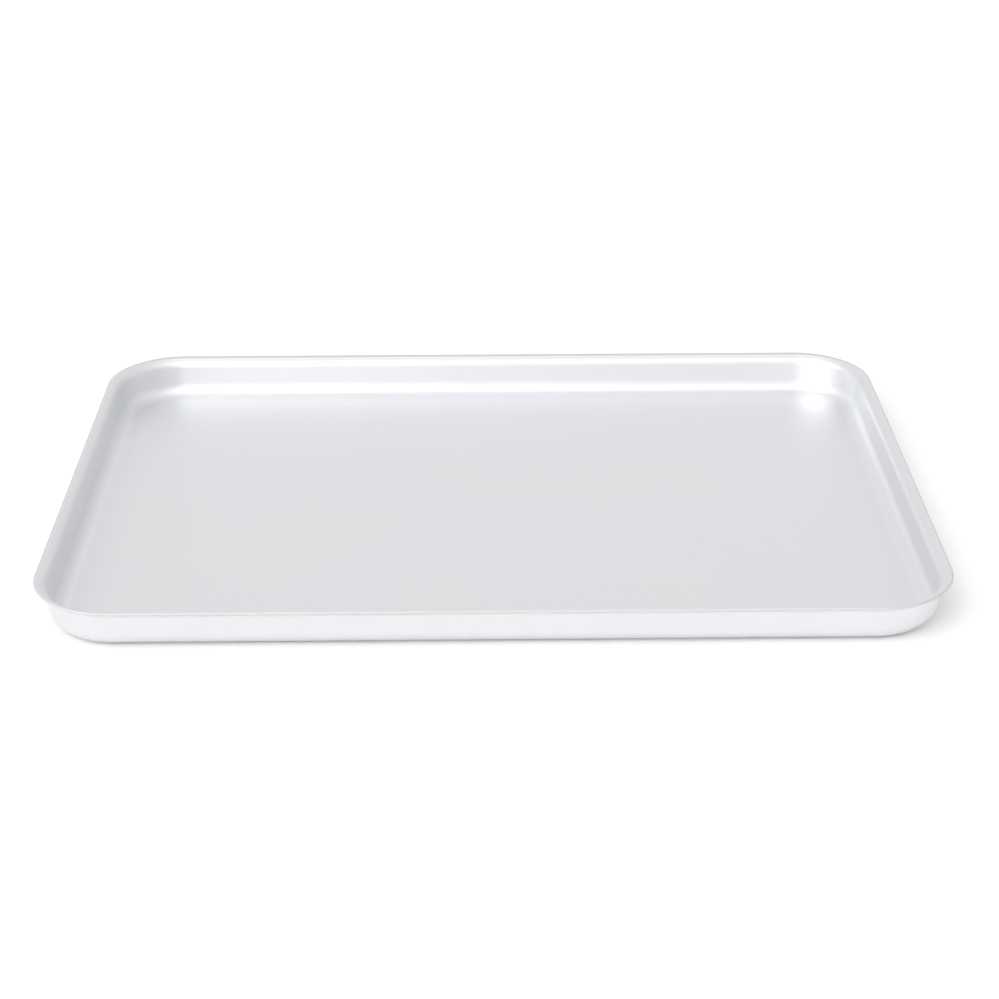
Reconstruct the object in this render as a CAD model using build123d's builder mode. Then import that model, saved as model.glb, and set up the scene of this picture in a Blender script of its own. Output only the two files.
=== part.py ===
from build123d import *
from math import cos, radians, sin, tan
import os

# Cookie sheet: a shallow rimmed tray drawn from one sheet of aluminium and trimmed round its lip.
# Millimetres, +Z up. The origin is under the middle of the tray, on the surface that it stands on.
# X runs along the long sides and Y along the short ones.

# Driving dimensions: overall, over the lip
tray_length = 355.6
tray_width = 254.0
tray_height = 18.0
rim_corner_radius = 32.5

# Driving dimensions: the sheet, and the rounding of its cut edge as a share of it
sheet_thickness = 1.0
edge_round_share = 0.35

# Driving dimensions: the wall, from the floor up to the lip. Each bend's radius is its tight side's
floor_bend_radius = 6.5
wall_draft = 5.0
lip_bend_radius = 2.0
lip_slope = 32.0
lip_width = 5.2

# Turns of the two bends, in degrees, and the reach of each bend from its sharp corner
wall_turn = 90 - wall_draft
lip_turn = wall_turn - lip_slope
lip_bend_top_radius = lip_bend_radius + sheet_thickness
floor_bend_reach = floor_bend_radius * tan(radians(wall_turn / 2))
lip_bend_reach = lip_bend_top_radius * tan(radians(lip_turn / 2))

# The cut edge is deburred. Rounded off, a square edge that is turned by the lip's slope stops this
# far short of its sharp corners, outward and upward alike, so the sharp ones stand that much proud.
slope = radians(lip_slope)
edge_round = edge_round_share * sheet_thickness
edge_loss = edge_round * (sin(slope) + cos(slope) - 1)

# Sharp corners of the sheet's upper face, as distances outward from the corner's axis and up
lip_end_out = rim_corner_radius + edge_loss - sheet_thickness * sin(slope)
lip_end_up = tray_height + edge_loss
lip_root_out = rim_corner_radius - lip_width
lip_root_up = lip_end_up - (lip_end_out - lip_root_out) * tan(slope)
wall_foot_out = lip_root_out - (lip_root_up - sheet_thickness) * tan(radians(wall_draft))
floor_edge_out = wall_foot_out - floor_bend_reach
wall_top_out = lip_root_out - lip_bend_reach * sin(radians(wall_draft))
wall_top_up = lip_root_up - lip_bend_reach * cos(radians(wall_draft))

# Wall section: the upper face's line, from the edge of the flat floor round its bend, up the wall and
# out along the lip, given the sheet's thickness on its lower side
with BuildSketch() as wall_section:
    with BuildLine():
        floor_bend = JernArc((floor_edge_out, sheet_thickness), (1, 0), floor_bend_radius, wall_turn)
        wall = Line(floor_bend @ 1, (wall_top_out, wall_top_up))
        lip_bend = JernArc(wall @ 1, wall % 1, lip_bend_top_radius, -lip_turn)
        lip = Line(lip_bend @ 1, (lip_end_out, lip_end_up))
        offset(amount=sheet_thickness, side=Side.RIGHT)
    make_face()
    cut_edge = wall_section.vertices().sort_by_distance(lip @ 1)[:2]
    fillet(cut_edge, radius=edge_round)

# The corner axes stand at the ends of the straight runs
half_run_x = tray_length / 2 - rim_corner_radius
half_run_y = tray_width / 2 - rim_corner_radius
corner = (half_run_x, half_run_y, 0)
end_plane = Plane(origin=corner, x_dir=(1, 0, 0), z_dir=(0, -1, 0))
side_plane = Plane(origin=corner, x_dir=(0, 1, 0), z_dir=(1, 0, 0))

with BuildPart() as pressed_tray:
    # One quarter of the wall: half an end, half a side and the corner between them
    with BuildSketch(end_plane):
        add(wall_section.sketch)
    extrude(amount=half_run_y)

    with BuildSketch(side_plane):
        add(wall_section.sketch)
    extrude(amount=-half_run_x)

    with BuildSketch(end_plane):
        add(wall_section.sketch)
    revolve(axis=Axis(corner, (0, 0, 1)), revolution_arc=90)

    mirror(about=Plane.YZ)
    mirror(about=Plane.XZ)

    # The flat floor inside the bend
    with BuildSketch():
        RectangleRounded(
            2 * (half_run_x + floor_edge_out), 2 * (half_run_y + floor_edge_out), floor_edge_out
        )
    extrude(amount=sheet_thickness)

pressed_tray.part.label = "pressed_tray"
os.makedirs("parts", exist_ok=True)
export_step(pressed_tray.part, "parts/pressed_tray.step")
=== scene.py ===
"""Looks of a cookie sheet: a shallow rimmed tray drawn from one sheet of satin anodised aluminium.

Metres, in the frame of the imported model: +Z up, the origin under the middle of the tray on the table,
X along the long sides. The tray's surface is a section of the drawn sheet carried round a rectangle with
rounded corners.
"""

import sys
import logging
import math
from dataclasses import dataclass, field, fields, replace
from enum import Enum

import bpy
import numpy as np
from mathutils import Matrix
from numpy.typing import NDArray


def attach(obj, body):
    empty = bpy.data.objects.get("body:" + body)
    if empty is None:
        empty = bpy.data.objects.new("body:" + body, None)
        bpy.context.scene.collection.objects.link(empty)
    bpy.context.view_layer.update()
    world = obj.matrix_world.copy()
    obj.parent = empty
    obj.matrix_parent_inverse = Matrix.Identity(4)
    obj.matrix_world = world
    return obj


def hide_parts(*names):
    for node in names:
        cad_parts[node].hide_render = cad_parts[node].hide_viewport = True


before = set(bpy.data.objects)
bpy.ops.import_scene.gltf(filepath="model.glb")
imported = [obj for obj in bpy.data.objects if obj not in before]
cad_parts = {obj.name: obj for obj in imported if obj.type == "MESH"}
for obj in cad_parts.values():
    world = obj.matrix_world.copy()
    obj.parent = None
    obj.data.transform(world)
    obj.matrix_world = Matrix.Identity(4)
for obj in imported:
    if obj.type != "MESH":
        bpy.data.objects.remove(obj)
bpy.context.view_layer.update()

Numbers = NDArray[np.float64]
# Points along a part of a section: their distances out, their heights and the headings there
Run = tuple[Numbers, Numbers, Numbers]
MM = 0.001
# A Mix node has sockets of the same names for each kind of value, so its colour ones go by their places
MIX_SHARE, MIX_FIRST, MIX_SECOND, MIX_COLOUR = 0, 6, 7, 2

log = logging.getLogger("cookie_sheet")


def linear(hex_colour: str) -> tuple[float, float, float, float]:
    """Turns an sRGB colour into the linear one that shaders take.

    A channel c becomes c / 12.92 up to 0.04045, and ((c + 0.055) / 1.055) to the power 2.4 above it.

    Args:
        hex_colour: the colour as #RRGGBB.

    Returns:
        Red, green, blue and an alpha of 1.
    """
    channels = np.array([int(hex_colour[i : i + 2], 16) for i in (1, 3, 5)]) / 255
    lit = np.where(channels <= 0.04045, channels / 12.92, ((channels + 0.055) / 1.055) ** 2.4)
    return (*(float(value) for value in lit), 1.0)


def add_node(
    tree: bpy.types.NodeTree,
    kind: str,
    settings: dict[str, object] | None = None,
    inputs: dict[str | int, object] | None = None,
) -> bpy.types.Node:
    """Adds a node to a tree, with its settings and links.

    Args:
        tree: the node tree.
        kind: Blender's name for the kind of node, without its ShaderNode part.
        settings: the node's own properties, by name.
        inputs: a value, or the output that is linked, for each input by its name or place.

    Returns:
        The new node.
    """
    node = tree.nodes.new("ShaderNode" + kind)
    for name, value in (settings or {}).items():
        setattr(node, name, value)
    for key, value in (inputs or {}).items():
        if isinstance(value, bpy.types.NodeSocket):
            tree.links.new(value, node.inputs[key])
        else:
            node.inputs[key].default_value = value
    return node


class GrainWay(Enum):
    """The way that the mill's rolls ran over the sheet, as the axis of the blank that its grain follows."""

    LENGTHWISE = 0
    CROSSWISE = 1


@dataclass(frozen=True)
class SatinAnodisedAluminium:
    """Rolled 3000-series aluminium, caustic etched to a satin and clear anodised after it was drawn.

    The etch scatters reflections into a soft sheen with no mirror image. The clear oxide film keeps the
    metal's pale, slightly cold grey. What is left of the rolls' grain runs one way over the floor and on up
    the walls, and the punch and die leave faint marks up the drawn walls.
    """

    colour: str = "#E7E8EA"
    thick_film_colour: str = "#E6E8EB"
    roughness: float = 0.45
    # The edge is sheared and then deburred, so it is duller than the etched faces. Its darker colour is
    # partly that and partly painted shade: the dark line that the edge's shading draws along the rim
    edge_colour_and_shade: str = "#DADBDC"
    edge_roughness: float = 0.75
    film_patch: float = 90 * MM
    film_roughness: float = 0.02
    grain_way: GrainWay = GrainWay.LENGTHWISE
    # Real roll lines are 0.1 mm apart and can't show at this scale, so they are drawn 6 times as wide
    grain_width: float = 0.6 * MM
    grain_length: float = 45 * MM
    grain_roughness: float = 0.012
    # Etch pits are hundredths of a millimetre wide, and are drawn as coarse as they need to show
    etch_pit: float = 0.5 * MM
    etch_roughness: float = 0.012
    draw_mark_width: float = 1.6 * MM
    draw_mark_length: float = 30 * MM
    draw_mark_roughness: float = 0.02
    relief: float = 0.0006 * MM

    def material(self) -> bpy.types.Material:
        """Makes the finish from the blank's flat coordinates, so that its patterns follow the sheet.

        Returns:
            The material.
        """
        made = bpy.data.materials.new("satin_anodised_aluminium")
        made.use_nodes = True
        tree = made.node_tree
        tree.nodes.clear()
        blank = add_node(tree, "Attribute", {"attribute_name": "blank"}).outputs["Vector"]
        drawn = add_node(tree, "Attribute", {"attribute_name": "drawn"}).outputs["Vector"]
        stretch = [1 / self.grain_width] * 3
        stretch[self.grain_way.value] = 1 / self.grain_length
        film = self.pattern(tree, blank, [1 / self.film_patch] * 3, detail=2.0)
        grain = self.pattern(tree, blank, stretch, detail=2.0)
        etch = self.pattern(tree, blank, [1 / self.etch_pit] * 3, detail=1.0)
        marks = self.pattern(
            tree, drawn, [1 / self.draw_mark_width, 1 / self.draw_mark_length, 1.0], detail=2.0
        )
        # The drawn coordinate's third part is 0 on the flat floor and nearly 1 on the walls
        on_wall = add_node(tree, "SeparateXYZ", inputs={0: drawn}).outputs["Z"]
        marks = add_node(tree, "Math", {"operation": "MULTIPLY"}, {0: marks, 1: on_wall}).outputs[0]
        edge = add_node(tree, "Attribute", {"attribute_name": "cut_edge"}).outputs["Fac"]
        shares = (
            (film, self.film_roughness),
            (grain, self.grain_roughness),
            (etch, self.etch_roughness),
            (marks, self.draw_mark_roughness),
        )
        roughness = self.roughness_over(tree, edge, shares)
        colour = self.colour_over(tree, edge, film)
        height = add_node(tree, "Math", {"operation": "ADD"}, {0: grain, 1: etch}).outputs[0]
        bump = add_node(
            tree, "Bump", inputs={"Strength": 1.0, "Distance": self.relief, "Height": height}
        ).outputs["Normal"]
        shader = add_node(
            tree,
            "BsdfPrincipled",
            inputs={"Base Color": colour, "Metallic": 1.0, "Roughness": roughness, "Normal": bump},
        ).outputs[0]
        add_node(tree, "OutputMaterial", inputs={"Surface": shader})
        return made

    def roughness_over(
        self,
        tree: bpy.types.NodeTree,
        edge: bpy.types.NodeSocket,
        shares: tuple[tuple[bpy.types.NodeSocket, float], ...],
    ) -> bpy.types.NodeSocket:
        """Adds the roughness: the faces' or the edge's own, plus each pattern times its share.

        Args:
            tree: the material's node tree.
            edge: 1 on the cut edge and 0 on the faces.
            shares: the patterns, each with its share.

        Returns:
            The roughness's output.
        """
        roughness = add_node(
            tree,
            "MapRange",
            inputs={"Value": edge, "To Min": self.roughness, "To Max": self.edge_roughness},
        ).outputs["Result"]
        for pattern, share in shares:
            roughness = add_node(
                tree, "Math", {"operation": "MULTIPLY_ADD"}, {0: pattern, 1: share, 2: roughness}
            ).outputs[0]
        return roughness

    def colour_over(
        self, tree: bpy.types.NodeTree, edge: bpy.types.NodeSocket, film: bpy.types.NodeSocket
    ) -> bpy.types.NodeSocket:
        """Adds the colour: from the thin film's to the thick one's by the film's pattern, and the edge's
        darker one, which is partly painted shade.

        Args:
            tree: the material's node tree.
            edge: 1 on the cut edge and 0 on the faces.
            film: the film's pattern.

        Returns:
            The colour's output.
        """
        thick = add_node(
            tree,
            "MapRange",
            {"interpolation_type": "SMOOTHSTEP"},
            {"Value": film, "From Min": -0.5, "From Max": 0.5},
        ).outputs["Result"]
        face_colours = {MIX_FIRST: linear(self.colour), MIX_SECOND: linear(self.thick_film_colour)}
        face = add_node(tree, "Mix", {"data_type": "RGBA"}, {MIX_SHARE: thick, **face_colours})
        # The edge's darker colour is partly painted shade, a dark line along the rim
        edge_colour_and_shade = {MIX_FIRST: face.outputs[MIX_COLOUR], MIX_SECOND: linear(self.edge_colour_and_shade)}
        both = add_node(tree, "Mix", {"data_type": "RGBA"}, {MIX_SHARE: edge, **edge_colour_and_shade})
        return both.outputs[MIX_COLOUR]

    def pattern(
        self,
        tree: bpy.types.NodeTree,
        place: bpy.types.NodeSocket,
        scale: list[float],
        detail: float,
    ) -> bpy.types.NodeSocket:
        """Adds a noise from about -0.5 to 0.5 over the given coordinates.

        Args:
            tree: the material's node tree.
            place: the coordinates, in metres.
            scale: how many of the pattern's features there are to a metre, along each coordinate.
            detail: how many finer layers of noise are added.

        Returns:
            The pattern's output.
        """
        scaled = add_node(tree, "VectorMath", {"operation": "MULTIPLY"}, {0: place, 1: scale})
        noise = add_node(
            tree, "TexNoise", inputs={"Vector": scaled.outputs[0], "Scale": 1.0, "Detail": detail}
        )
        return add_node(
            tree, "Math", {"operation": "SUBTRACT"}, {0: noise.outputs[0], 1: 0.5}
        ).outputs[0]


@dataclass(frozen=True)
class MattWhitePaint:
    """Matt white emulsion on a smooth board: a pale ground with no sheen, which holds a soft shadow."""

    colour: str = "#F9F9F9"

    def material(self) -> bpy.types.Material:
        """Makes the paint as a plain diffuse surface.

        Returns:
            The material.
        """
        made = bpy.data.materials.new("matt_white_paint")
        made.use_nodes = True
        tree = made.node_tree
        tree.nodes.clear()
        shader = add_node(tree, "BsdfDiffuse", inputs={"Color": linear(self.colour)}).outputs[0]
        add_node(tree, "OutputMaterial", inputs={"Surface": shader})
        return made


@dataclass(frozen=True)
class Stations:
    """Points along a section of the sheet, from the middle of the floor out, as equally long arrays.

    spread scales the corner's axis and the distance out together, so it is 1 from the edge of the flat
    floor outward and runs down to 0 at the middle of the floor. out is the distance outward from the
    corner's axis and up the height. lean_out and lean_up are the surface's normal. flat is the distance out
    on the blank before drawing.
    """

    spread: Numbers
    out: Numbers
    up: Numbers
    lean_out: Numbers
    lean_up: Numbers
    flat: Numbers

    def then(self, *more: "Stations") -> "Stations":
        """Joins other stations on behind these.

        Args:
            more: the other stations, in order.

        Returns:
            All of them as one.
        """
        runs = (self, *more)
        return Stations(
            *(np.concatenate([getattr(run, part.name) for run in runs]) for part in fields(Stations))
        )

    def under(self, thickness: float) -> "Stations":
        """Makes the sheet's lower face: each point moved back along its normal by the thickness.

        Args:
            thickness: the sheet's thickness.

        Returns:
            The lower face's stations, in turned order.
        """
        return Stations(
            self.spread[::-1],
            (self.out - thickness * self.lean_out)[::-1],
            (self.up - thickness * self.lean_up)[::-1],
            -self.lean_out[::-1],
            -self.lean_up[::-1],
            self.flat[::-1],
        )


@dataclass(frozen=True)
class SheetSection:
    """The drawn sheet's section: flat floor, bend, drafted wall, bend and sloping lip, with a cut edge.

    The sheet is equally thick throughout. A heading is the way that the section runs, in radians above
    level, and the upper face's normal at heading h is (-sin h, cos h). An arc's points are its centre plus
    its radius times that normal, with a positive radius where the upper face is the outer side of the bend.
    The deburring wheel rounds the cut edge and eases the lip's last part too, by less than the mesh can
    show, so only the normals there turn from the lip's to upright.
    """

    rim_corner_radius: float = 32.5 * MM
    height: float = 18 * MM
    thickness: float = 1 * MM
    edge_round: float = 0.35 * MM
    floor_bend_radius: float = 6.5 * MM
    wall_draft: float = math.radians(7.5)
    lip_bend_radius: float = 3 * MM
    lip_slope: float = math.radians(32)
    lip_width: float = 4.6 * MM
    edge_ease: float = 1.2 * MM
    floor_bend_steps: int = 28
    wall_steps: int = 6
    lip_bend_steps: int = 18
    lip_steps: int = 3
    ease_steps: int = 4
    edge_round_steps: int = 6

    def corners(self) -> tuple[float, tuple[float, float], tuple[float, float]]:
        """Works out where the upper face's straight runs start and end.

        A bend starts and ends at its radius times the tangent of half its turn from where the two straights
        beside it would meet.

        Returns:
            The flat floor's edge, then the wall's top and the lip's sharp end as (out, up).
        """
        draft, slope = self.wall_draft, self.lip_slope
        # The edge's corners, before they are rounded, stand this far past the tray's height and length
        proud = self.edge_round * (math.sin(slope) + math.cos(slope) - 1)
        end = (self.rim_corner_radius + proud - self.thickness * math.sin(slope), self.height + proud)
        root_out = self.rim_corner_radius - self.lip_width
        root_up = end[1] - (end[0] - root_out) * math.tan(slope)
        foot_out = root_out - (root_up - self.thickness) * math.tan(draft)
        floor_reach = self.floor_bend_radius * math.tan((math.pi / 2 - draft) / 2)
        lip_turn = math.pi / 2 - draft - slope
        lip_reach = (self.lip_bend_radius + self.thickness) * math.tan(lip_turn / 2)
        top = (root_out - lip_reach * math.sin(draft), root_up - lip_reach * math.cos(draft))
        return foot_out - floor_reach, top, end

    def arc(
        self, start: tuple[float, float], radius: float, first: float, last: float, steps: int
    ) -> Run:
        """Carries the section round a bend from a point.

        Args:
            start: the bend's first point, as (out, up).
            radius: positive where the upper face is the bend's outer side.
            first: the heading at the start.
            last: the heading at the end.
            steps: how many parts the bend is cut into.

        Returns:
            The bend's run, both ends with it.
        """
        heading = np.linspace(first, last, steps + 1)
        out = start[0] + radius * (math.sin(first) - np.sin(heading))
        up = start[1] + radius * (np.cos(heading) - math.cos(first))
        return out, up, heading

    def straight(self, bend: Run, end: tuple[float, float], shares: Numbers) -> Run:
        """Carries the section straight on from the end of a bend, at the heading that the bend ends with.

        Each point is the bend's end plus its share of the way from there to the straight's end.

        Args:
            bend: the bend before it.
            end: where the straight ends, as (out, up).
            shares: where its points lie, as shares of its length.

        Returns:
            The straight's run.
        """
        out, up, heading = (values[-1] for values in bend)
        ahead_out, ahead_up = end[0] - out, end[1] - up
        return out + shares * ahead_out, up + shares * ahead_up, np.full(len(shares), heading)

    def upper_face(self) -> Stations:
        """Makes the upper face from the flat floor's edge to where the cut edge's rounding starts.

        Returns:
            The stations of the floor's bend, the wall, the lip's bend and the lip.
        """
        floor_edge, wall_top, lip_end = self.corners()
        upright, slope = math.pi / 2 - self.wall_draft, self.lip_slope
        foot = (floor_edge, self.thickness)
        bend = self.arc(foot, -self.floor_bend_radius, 0.0, upright, self.floor_bend_steps)
        wall = self.straight(bend, wall_top, np.linspace(0, 1, self.wall_steps + 1)[1:-1])
        lip_bend_radius = self.lip_bend_radius + self.thickness
        lip_bend = self.arc(wall_top, lip_bend_radius, upright, slope, self.lip_bend_steps)
        edge = (
            lip_end[0] - self.edge_round * math.cos(slope),
            lip_end[1] - self.edge_round * math.sin(slope),
        )
        lip_length = math.hypot(edge[0] - lip_bend[0][-1], edge[1] - lip_bend[1][-1])
        ease_start = 1 - self.edge_ease / lip_length
        before_ease = np.linspace(0, ease_start, self.lip_steps + 1)[1:-1]
        in_ease = np.linspace(ease_start, 1, self.ease_steps + 1)
        lip = self.straight(lip_bend, edge, np.append(before_ease, in_ease))
        out, up, heading = (np.concatenate(values) for values in zip(bend, wall, lip_bend, lip))
        flat = floor_edge + np.append(0.0, np.cumsum(np.hypot(np.diff(out), np.diff(up))))
        return Stations(np.ones(len(out)), out, up, -np.sin(heading), np.cos(heading), flat)

    def cut_edge(self, upper: Stations) -> Stations:
        """Makes the trimmed edge: two small arcs with a straight between, square to the lip.

        Args:
            upper: the upper face, at whose last station the edge starts.

        Returns:
            The stations between the two faces.
        """
        slope, steps = self.lip_slope, self.edge_round_steps
        square = slope - math.pi / 2
        first = self.arc((upper.out[-1], upper.up[-1]), self.edge_round, slope, square, steps)
        flat_part = self.thickness - 2 * self.edge_round
        foot = (
            first[0][-1] + flat_part * math.sin(slope),
            first[1][-1] - flat_part * math.cos(slope),
        )
        second = self.arc(foot, self.edge_round, square, slope - math.pi, steps)
        out, up = (np.append(above[1:], below[:-1]) for above, below in zip(first[:2], second[:2]))
        # The eased lip ends upright, so the first arc's normals turn on from there
        heading = np.append(np.linspace(0, square, steps + 1)[1:], second[2][:-1])
        flat = np.full(len(out), upper.flat[-1])
        return Stations(np.ones(len(out)), out, up, -np.sin(heading), np.cos(heading), flat)

    def floor(self, rings: int) -> Stations:
        """Makes the flat floor's upper face, as rings that shrink to its middle.

        Args:
            rings: how many rings there are, the middle point's left out.

        Returns:
            Stations from the smallest ring outward, without the one at the floor's edge.
        """
        floor_edge = self.corners()[0]
        return Stations(
            spread=np.linspace(0, 1, rings + 2)[1:-1],
            out=np.full(rings, floor_edge),
            up=np.full(rings, self.thickness),
            lean_out=np.zeros(rings),
            lean_up=np.ones(rings),
            flat=np.full(rings, floor_edge),
        )

    def eased(self, top: Stations) -> Stations:
        """Turns the upper face's normals from the lip's to upright over the eased part of the lip.

        The heading that they are taken from falls evenly with the length, from the lip's slope to level.

        Args:
            top: the upper face, out to where the cut edge starts.

        Returns:
            The same stations with the turned normals.
        """
        share = 1 - (top.flat[-1] - top.flat) / self.edge_ease
        heading = self.lip_slope * (1 - share)
        turned = share > 0
        return replace(
            top,
            lean_out=np.where(turned, -np.sin(heading), top.lean_out),
            lean_up=np.where(turned, np.cos(heading), top.lean_up),
        )

    def around(self, rings: int) -> Stations:
        """Joins the whole section: floor, upper face, cut edge and lower face back to the middle.

        Args:
            rings: how many rings the flat floor has on each face.

        Returns:
            The stations in order, starting next to the middle on top and ending next to it below.
        """
        upper = self.upper_face()
        top = self.floor(rings).then(upper)
        return self.eased(top).then(self.cut_edge(upper), top.under(self.thickness))


@dataclass(frozen=True)
class CornerPath:
    """The path that the section is carried along: a rectangle, whose corners turn about their axes.

    A station of the path is its corner's axis and its outward direction. A corner turns the direction
    through a quarter turn in equal steps, and a straight run keeps it while the axis moves along the run.
    The length along the path is measured on the line at measured_out from the axes, near the walls' foot.
    """

    half_x: float
    half_y: float
    measured_out: float = 20 * MM
    corner_steps: int = 32
    end_steps: int = 18
    side_steps: int = 26

    def stations(self) -> tuple[Numbers, Numbers, Numbers]:
        """Works the path out anticlockwise, from the corner at +X and -Y.

        Returns:
            The axes and the outward directions as (n, 2) arrays, and each station's length along the path.
        """
        signs = np.array([(1, -1), (1, 1), (-1, 1), (-1, -1)], float)
        corners = signs * (self.half_x, self.half_y)
        axes, turns = [], []
        for i, corner in enumerate(corners):
            turn = (i - 1) * math.pi / 2 + np.linspace(0, math.pi / 2, self.corner_steps + 1)
            axes.append(np.repeat(corner[None], len(turn), 0))
            turns.append(turn)
            steps = self.end_steps if i % 2 == 0 else self.side_steps
            share = np.linspace(0, 1, steps + 1)[1:-1, None]
            axes.append(corner + share * (corners[(i + 1) % 4] - corner))
            turns.append(np.full(steps - 1, i * math.pi / 2))
        axis = np.concatenate(axes)
        turn = np.concatenate(turns)
        outward = np.stack([np.cos(turn), np.sin(turn)], 1)
        line = axis + outward * self.measured_out
        along = np.append(0.0, np.cumsum(np.linalg.norm(np.diff(line, axis=0), axis=1)))
        return axis, outward, along


@dataclass(frozen=True)
class Skin:
    """The tray's whole surface: a grid with a row for each station of the path, then the two middles.

    All four arrays are (n, 3), and the middle of the upper face comes before that of the lower one. blank is
    where a point lay on the flat sheet. drawn is its place for the draw marks: the length along the path,
    the distance out on the blank, and a third part that rises from 0 where the surface is level to 1 where
    it is upright.
    """

    points: Numbers
    normals: Numbers
    blank: Numbers
    drawn: Numbers
    path_count: int
    line_count: int

    def faces(self) -> list[list[int]]:
        """Joins neighbouring points with faces that point outward.

        Returns:
            The quads of the grid, then the triangles round the two middles.
        """
        grid = np.arange(self.path_count * self.line_count).reshape(self.path_count, -1)
        after = np.roll(grid, -1, 0)
        quads = np.stack([grid[:, :-1], grid[:, 1:], after[:, 1:], after[:, :-1]], 2).reshape(-1, 4)
        middle = np.full(self.path_count, grid.size)
        upper = np.stack([grid[:, 0], after[:, 0], middle], 1)
        lower = np.stack([after[:, -1], grid[:, -1], middle + 1], 1)
        return [*quads.tolist(), *upper.tolist(), *lower.tolist()]


@dataclass
class PressedTray:
    """The whole tray: one sheet, drawn to a floor, four walls and a sloping lip, and trimmed all round.

    underside_away is how far off the lower face's patterns are taken from, so that they aren't the upper
    face's again.
    """

    section: SheetSection = field(default_factory=SheetSection)
    length: float = 355.6 * MM
    width: float = 254 * MM
    floor_rings: int = 12
    underside_away: float = 50 * MM
    finish: SatinAnodisedAluminium = field(default_factory=SatinAnodisedAluminium)

    def surface(self) -> Skin:
        """Carries the section round the path.

        Point (i, j) is the axis of station i plus its outward direction times the section's distance out,
        both times the section's spread, at the section's height. The middle of each face is one more point.

        Returns:
            The tray's skin.
        """
        inset = self.section.rim_corner_radius
        axis, outward, along = CornerPath(self.length / 2 - inset, self.width / 2 - inset).stations()
        line = self.section.around(self.floor_rings)
        path_count, line_count = len(axis), len(line.out)
        points, normals, blank, drawn = (np.empty((path_count, line_count, 3)) for _ in range(4))
        place = axis[:, None] + outward[:, None] * line.out[:, None]
        points[..., :2] = line.spread[:, None] * place
        points[..., 2] = line.up
        normals[..., :2] = outward[:, None] * line.lean_out[:, None]
        normals[..., 2] = line.lean_up
        flat_place = axis[:, None] + outward[:, None] * line.flat[:, None]
        blank[..., :2] = line.spread[:, None] * flat_place
        # The section's second half is the lower face
        is_lower = np.arange(line_count) >= line_count / 2
        blank[..., 2] = np.where(is_lower, self.underside_away, 0.0)
        drawn[..., 0] = along[:, None]
        drawn[..., 1] = line.flat
        drawn[..., 2] = 1 - np.abs(line.lean_up)
        grids = (points, normals, blank, drawn)
        upper_middle = [[0, 0, self.section.thickness], [0, 0, 1], [0, 0, 0], [0, 0, 0]]
        lower_middle = [[0, 0, 0], [0, 0, -1], [0, 0, self.underside_away], [0, 0, 0]]
        arrays = (
            np.concatenate([grid.reshape(-1, 3), np.array(middles, float)])
            for grid, *middles in zip(grids, upper_middle, lower_middle)
        )
        return Skin(*arrays, path_count, line_count)

    def build(self) -> bpy.types.Object:
        """Makes the tray's mesh with its exact normals and dresses it.

        Returns:
            The tray.
        """
        skin = self.surface()
        mesh = bpy.data.meshes.new("drawn_tray")
        mesh.from_pydata(skin.points, [], skin.faces())
        mesh.polygons.foreach_set("use_smooth", np.ones(len(mesh.polygons), bool))
        for name, values in (("blank", skin.blank), ("drawn", skin.drawn)):
            layer = mesh.attributes.new(name, "FLOAT_VECTOR", "POINT")
            layer.data.foreach_set("vector", values.astype(np.float32).ravel())
        # The cut edge is what lies furthest out on the blank
        flat = skin.drawn[:, 1]
        layer = mesh.attributes.new("cut_edge", "FLOAT", "POINT")
        layer.data.foreach_set("value", (flat >= flat.max()).astype(np.float32))
        mesh.normals_split_custom_set_from_vertices(skin.normals)
        mesh.materials.append(self.finish.material())
        mesh.update()
        tray = bpy.data.objects.new("drawn_tray", mesh)
        bpy.context.scene.collection.objects.link(tray)
        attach(tray, "root")
        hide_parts("pressed_tray")
        return tray


@dataclass(frozen=True)
class WhiteTable:
    """The painted board that the tray stands on. It isn't part of the object."""

    half_size: float = 6.0
    finish: MattWhitePaint = MattWhitePaint()

    def build(self) -> bpy.types.Object:
        """Makes the board as one level face.

        Returns:
            The board.
        """
        half = self.half_size
        mesh = bpy.data.meshes.new("white_table")
        corners = [(-half, -half, 0), (half, -half, 0), (half, half, 0), (-half, half, 0)]
        mesh.from_pydata(corners, [], [(0, 1, 2, 3)])
        mesh.materials.append(self.finish.material())
        table = bpy.data.objects.new("white_table", mesh)
        bpy.context.scene.collection.objects.link(table)
        return table


@dataclass(frozen=True)
class Softbox:
    """A large round diffuser, far enough away for its light to be even over the table.

    azimuth is in degrees from the front, positive to the right, and elevation in degrees above the table.
    The glow is full within inner degrees of its middle and fades smoothly to nothing at outer degrees.
    """

    azimuth: float
    elevation: float
    strength: float
    inner: float = 0
    outer: float = 42
    colour: str = "#FDFCFC"

    def direction(self) -> tuple[float, float, float]:
        """Works out the unit vector from the tray towards the diffuser's middle."""
        turn, rise = math.radians(self.azimuth), math.radians(self.elevation)
        return math.sin(turn) * math.cos(rise), -math.cos(turn) * math.cos(rise), math.sin(rise)

    def glow(self, tree: bpy.types.NodeTree, way: bpy.types.NodeSocket) -> bpy.types.NodeSocket:
        """Adds the diffuser's brightness, from the cosine of the angle between a way and its middle.

        Args:
            tree: the world's node tree.
            way: the way that is looked in.

        Returns:
            The brightness's output.
        """
        facing = add_node(
            tree, "VectorMath", {"operation": "DOT_PRODUCT"}, {0: way, 1: self.direction()}
        ).outputs["Value"]
        return add_node(
            tree,
            "MapRange",
            {"interpolation_type": "SMOOTHSTEP"},
            {
                "Value": facing,
                "From Min": math.cos(math.radians(self.outer)),
                "From Max": math.cos(math.radians(self.inner)),
                "To Max": self.strength,
            },
        ).outputs["Result"]


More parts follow.
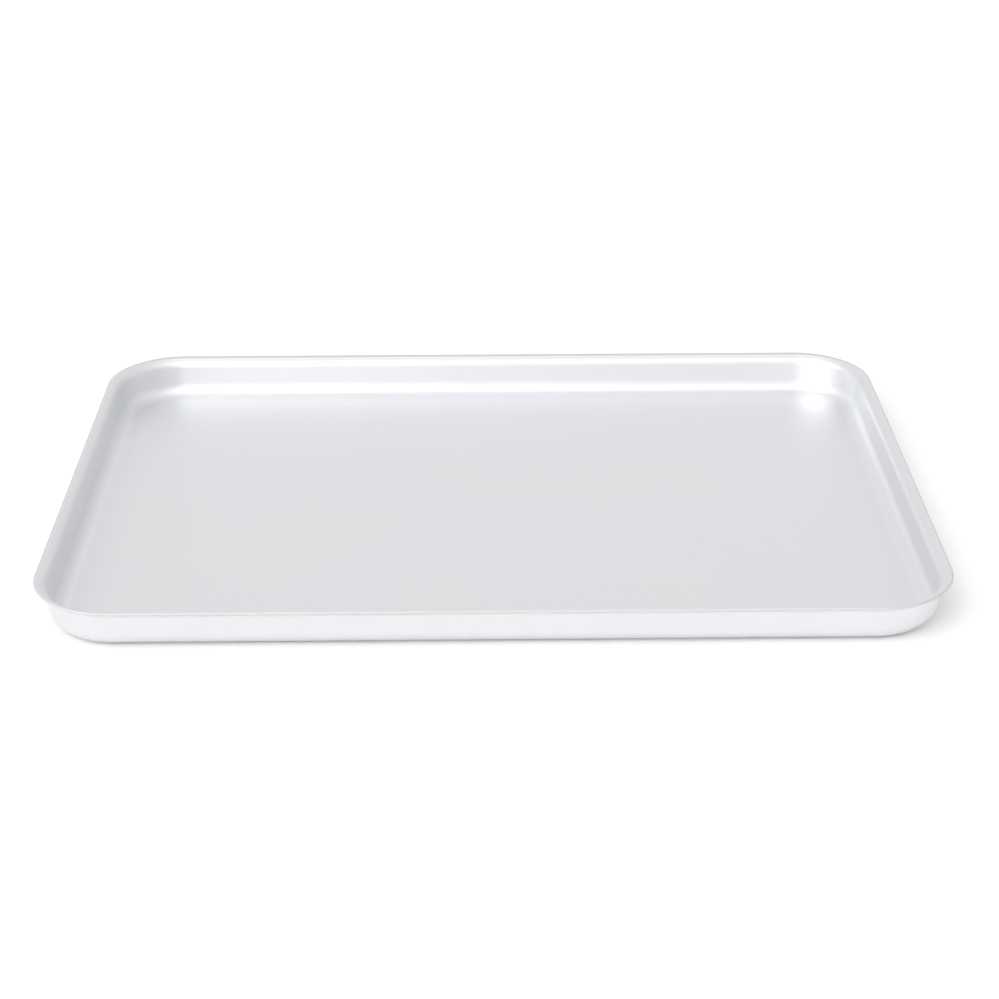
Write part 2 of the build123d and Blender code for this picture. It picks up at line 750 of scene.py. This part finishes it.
@dataclass(frozen=True)
class Studio:
    """White studio walls all round, with diffusers before them. The camera sees the walls as plain white.

    The key light stands high at the front left, with a weaker one further left and a broad low one below.
    A fill hangs high in front, and faint ones stand lower at the front right, right, back and back left.
    """

    walls: float = 0.735
    wall_colour: str = "#FDFCFC"
    softboxes: tuple[Softbox, ...] = (
        Softbox(azimuth=-45, elevation=50, strength=2.28, outer=28, colour="#FFFDFA"),
        Softbox(azimuth=-70, elevation=30, strength=1.16, outer=20, colour="#FFFDFA"),
        Softbox(azimuth=-30, elevation=8, strength=1.76, outer=34, colour="#FFFDFA"),
        Softbox(azimuth=-5, elevation=66, strength=0.6),
        Softbox(azimuth=30, elevation=8, strength=0.19, outer=34),
        Softbox(azimuth=90, elevation=36, strength=0.15),
        Softbox(azimuth=180, elevation=36, strength=0.23),
        Softbox(azimuth=-120, elevation=8, strength=0.33, outer=34),
    )

    def build(self) -> bpy.types.World:
        """Makes the world: the walls' light plus each diffuser's glow times its colour.

        Returns:
            The world.
        """
        world = bpy.data.worlds.new("studio")
        world.use_nodes = True
        tree = world.node_tree
        tree.nodes.clear()
        way = add_node(tree, "TexCoord").outputs["Generated"]
        wall_light = [self.walls * part for part in linear(self.wall_colour)[:3]]
        light = add_node(tree, "CombineXYZ", inputs=dict(enumerate(wall_light))).outputs[0]
        for box in self.softboxes:
            light = add_node(
                tree,
                "VectorMath",
                {"operation": "MULTIPLY_ADD"},
                {0: box.glow(tree, way), 1: linear(box.colour)[:3], 2: light},
            ).outputs[0]
        seen = add_node(tree, "LightPath").outputs["Is Camera Ray"]
        lit = add_node(tree, "Background", inputs={"Color": light}).outputs[0]
        white = add_node(tree, "Background", inputs={"Color": (1.0, 1.0, 1.0, 1.0)}).outputs[0]
        surface = add_node(tree, "MixShader", inputs={0: seen, 1: lit, 2: white}).outputs[0]
        add_node(tree, "OutputWorld", inputs={"Surface": surface})
        bpy.context.scene.world = world
        return world


@dataclass(frozen=True)
class ProductCamera:
    """The photograph's camera: a short telephoto in front of the tray, looking down at it.

    The lens and the sensor's width are in millimetres. pitch is how far it looks down, yaw how far it looks
    to the right and roll how far it is turned about its line of sight, in radians.
    """

    lens: float = 77.15
    sensor_width: float = 36.0
    target: tuple[float, float, float] = (3.298 * MM, 4.725 * MM, 0.0)
    distance: float = 926.4 * MM
    pitch: float = 0.45477
    yaw: float = 0.01274
    roll: float = -0.0016
    nearest: float = 10 * MM
    farthest: float = 50.0

    def build(self) -> bpy.types.Object:
        """Places the camera at its distance from the target, against the way that it looks.

        Its right and up are those of a level camera, turned by the roll.

        Returns:
            The camera.
        """
        data = bpy.data.cameras.new("product_camera")
        data.sensor_width = self.sensor_width
        data.lens = self.lens
        data.clip_start, data.clip_end = self.nearest, self.farthest
        ahead = np.array(
            [
                math.sin(self.yaw) * math.cos(self.pitch),
                math.cos(self.yaw) * math.cos(self.pitch),
                -math.sin(self.pitch),
            ]
        )
        level = np.array([math.cos(self.yaw), -math.sin(self.yaw), 0.0])
        above = np.cross(level, ahead)
        right = level * math.cos(self.roll) + above * math.sin(self.roll)
        up = above * math.cos(self.roll) - level * math.sin(self.roll)
        place = np.eye(4)
        place[:3, 0], place[:3, 1], place[:3, 2] = right, up, -ahead
        place[:3, 3] = np.array(self.target) - ahead * self.distance
        camera = bpy.data.objects.new("product_camera", data)
        bpy.context.scene.collection.objects.link(camera)
        camera.matrix_world = Matrix(place.tolist())
        bpy.context.scene.camera = camera
        return camera


def main() -> None:
    """Builds the tray and what shows it."""
    logging.basicConfig(level=logging.INFO, format="%(name)s: %(message)s", stream=sys.stdout)
    ProductCamera().build()
    Studio().build()
    WhiteTable().build()
    tray = PressedTray().build()
    log.info("%s: %d faces, %s", tray.name, len(tray.data.polygons), tuple(tray.dimensions))
    bpy.context.scene.view_settings.view_transform = "Standard"
    bpy.context.view_layer.update()


if __name__ == "__main__":
    main()
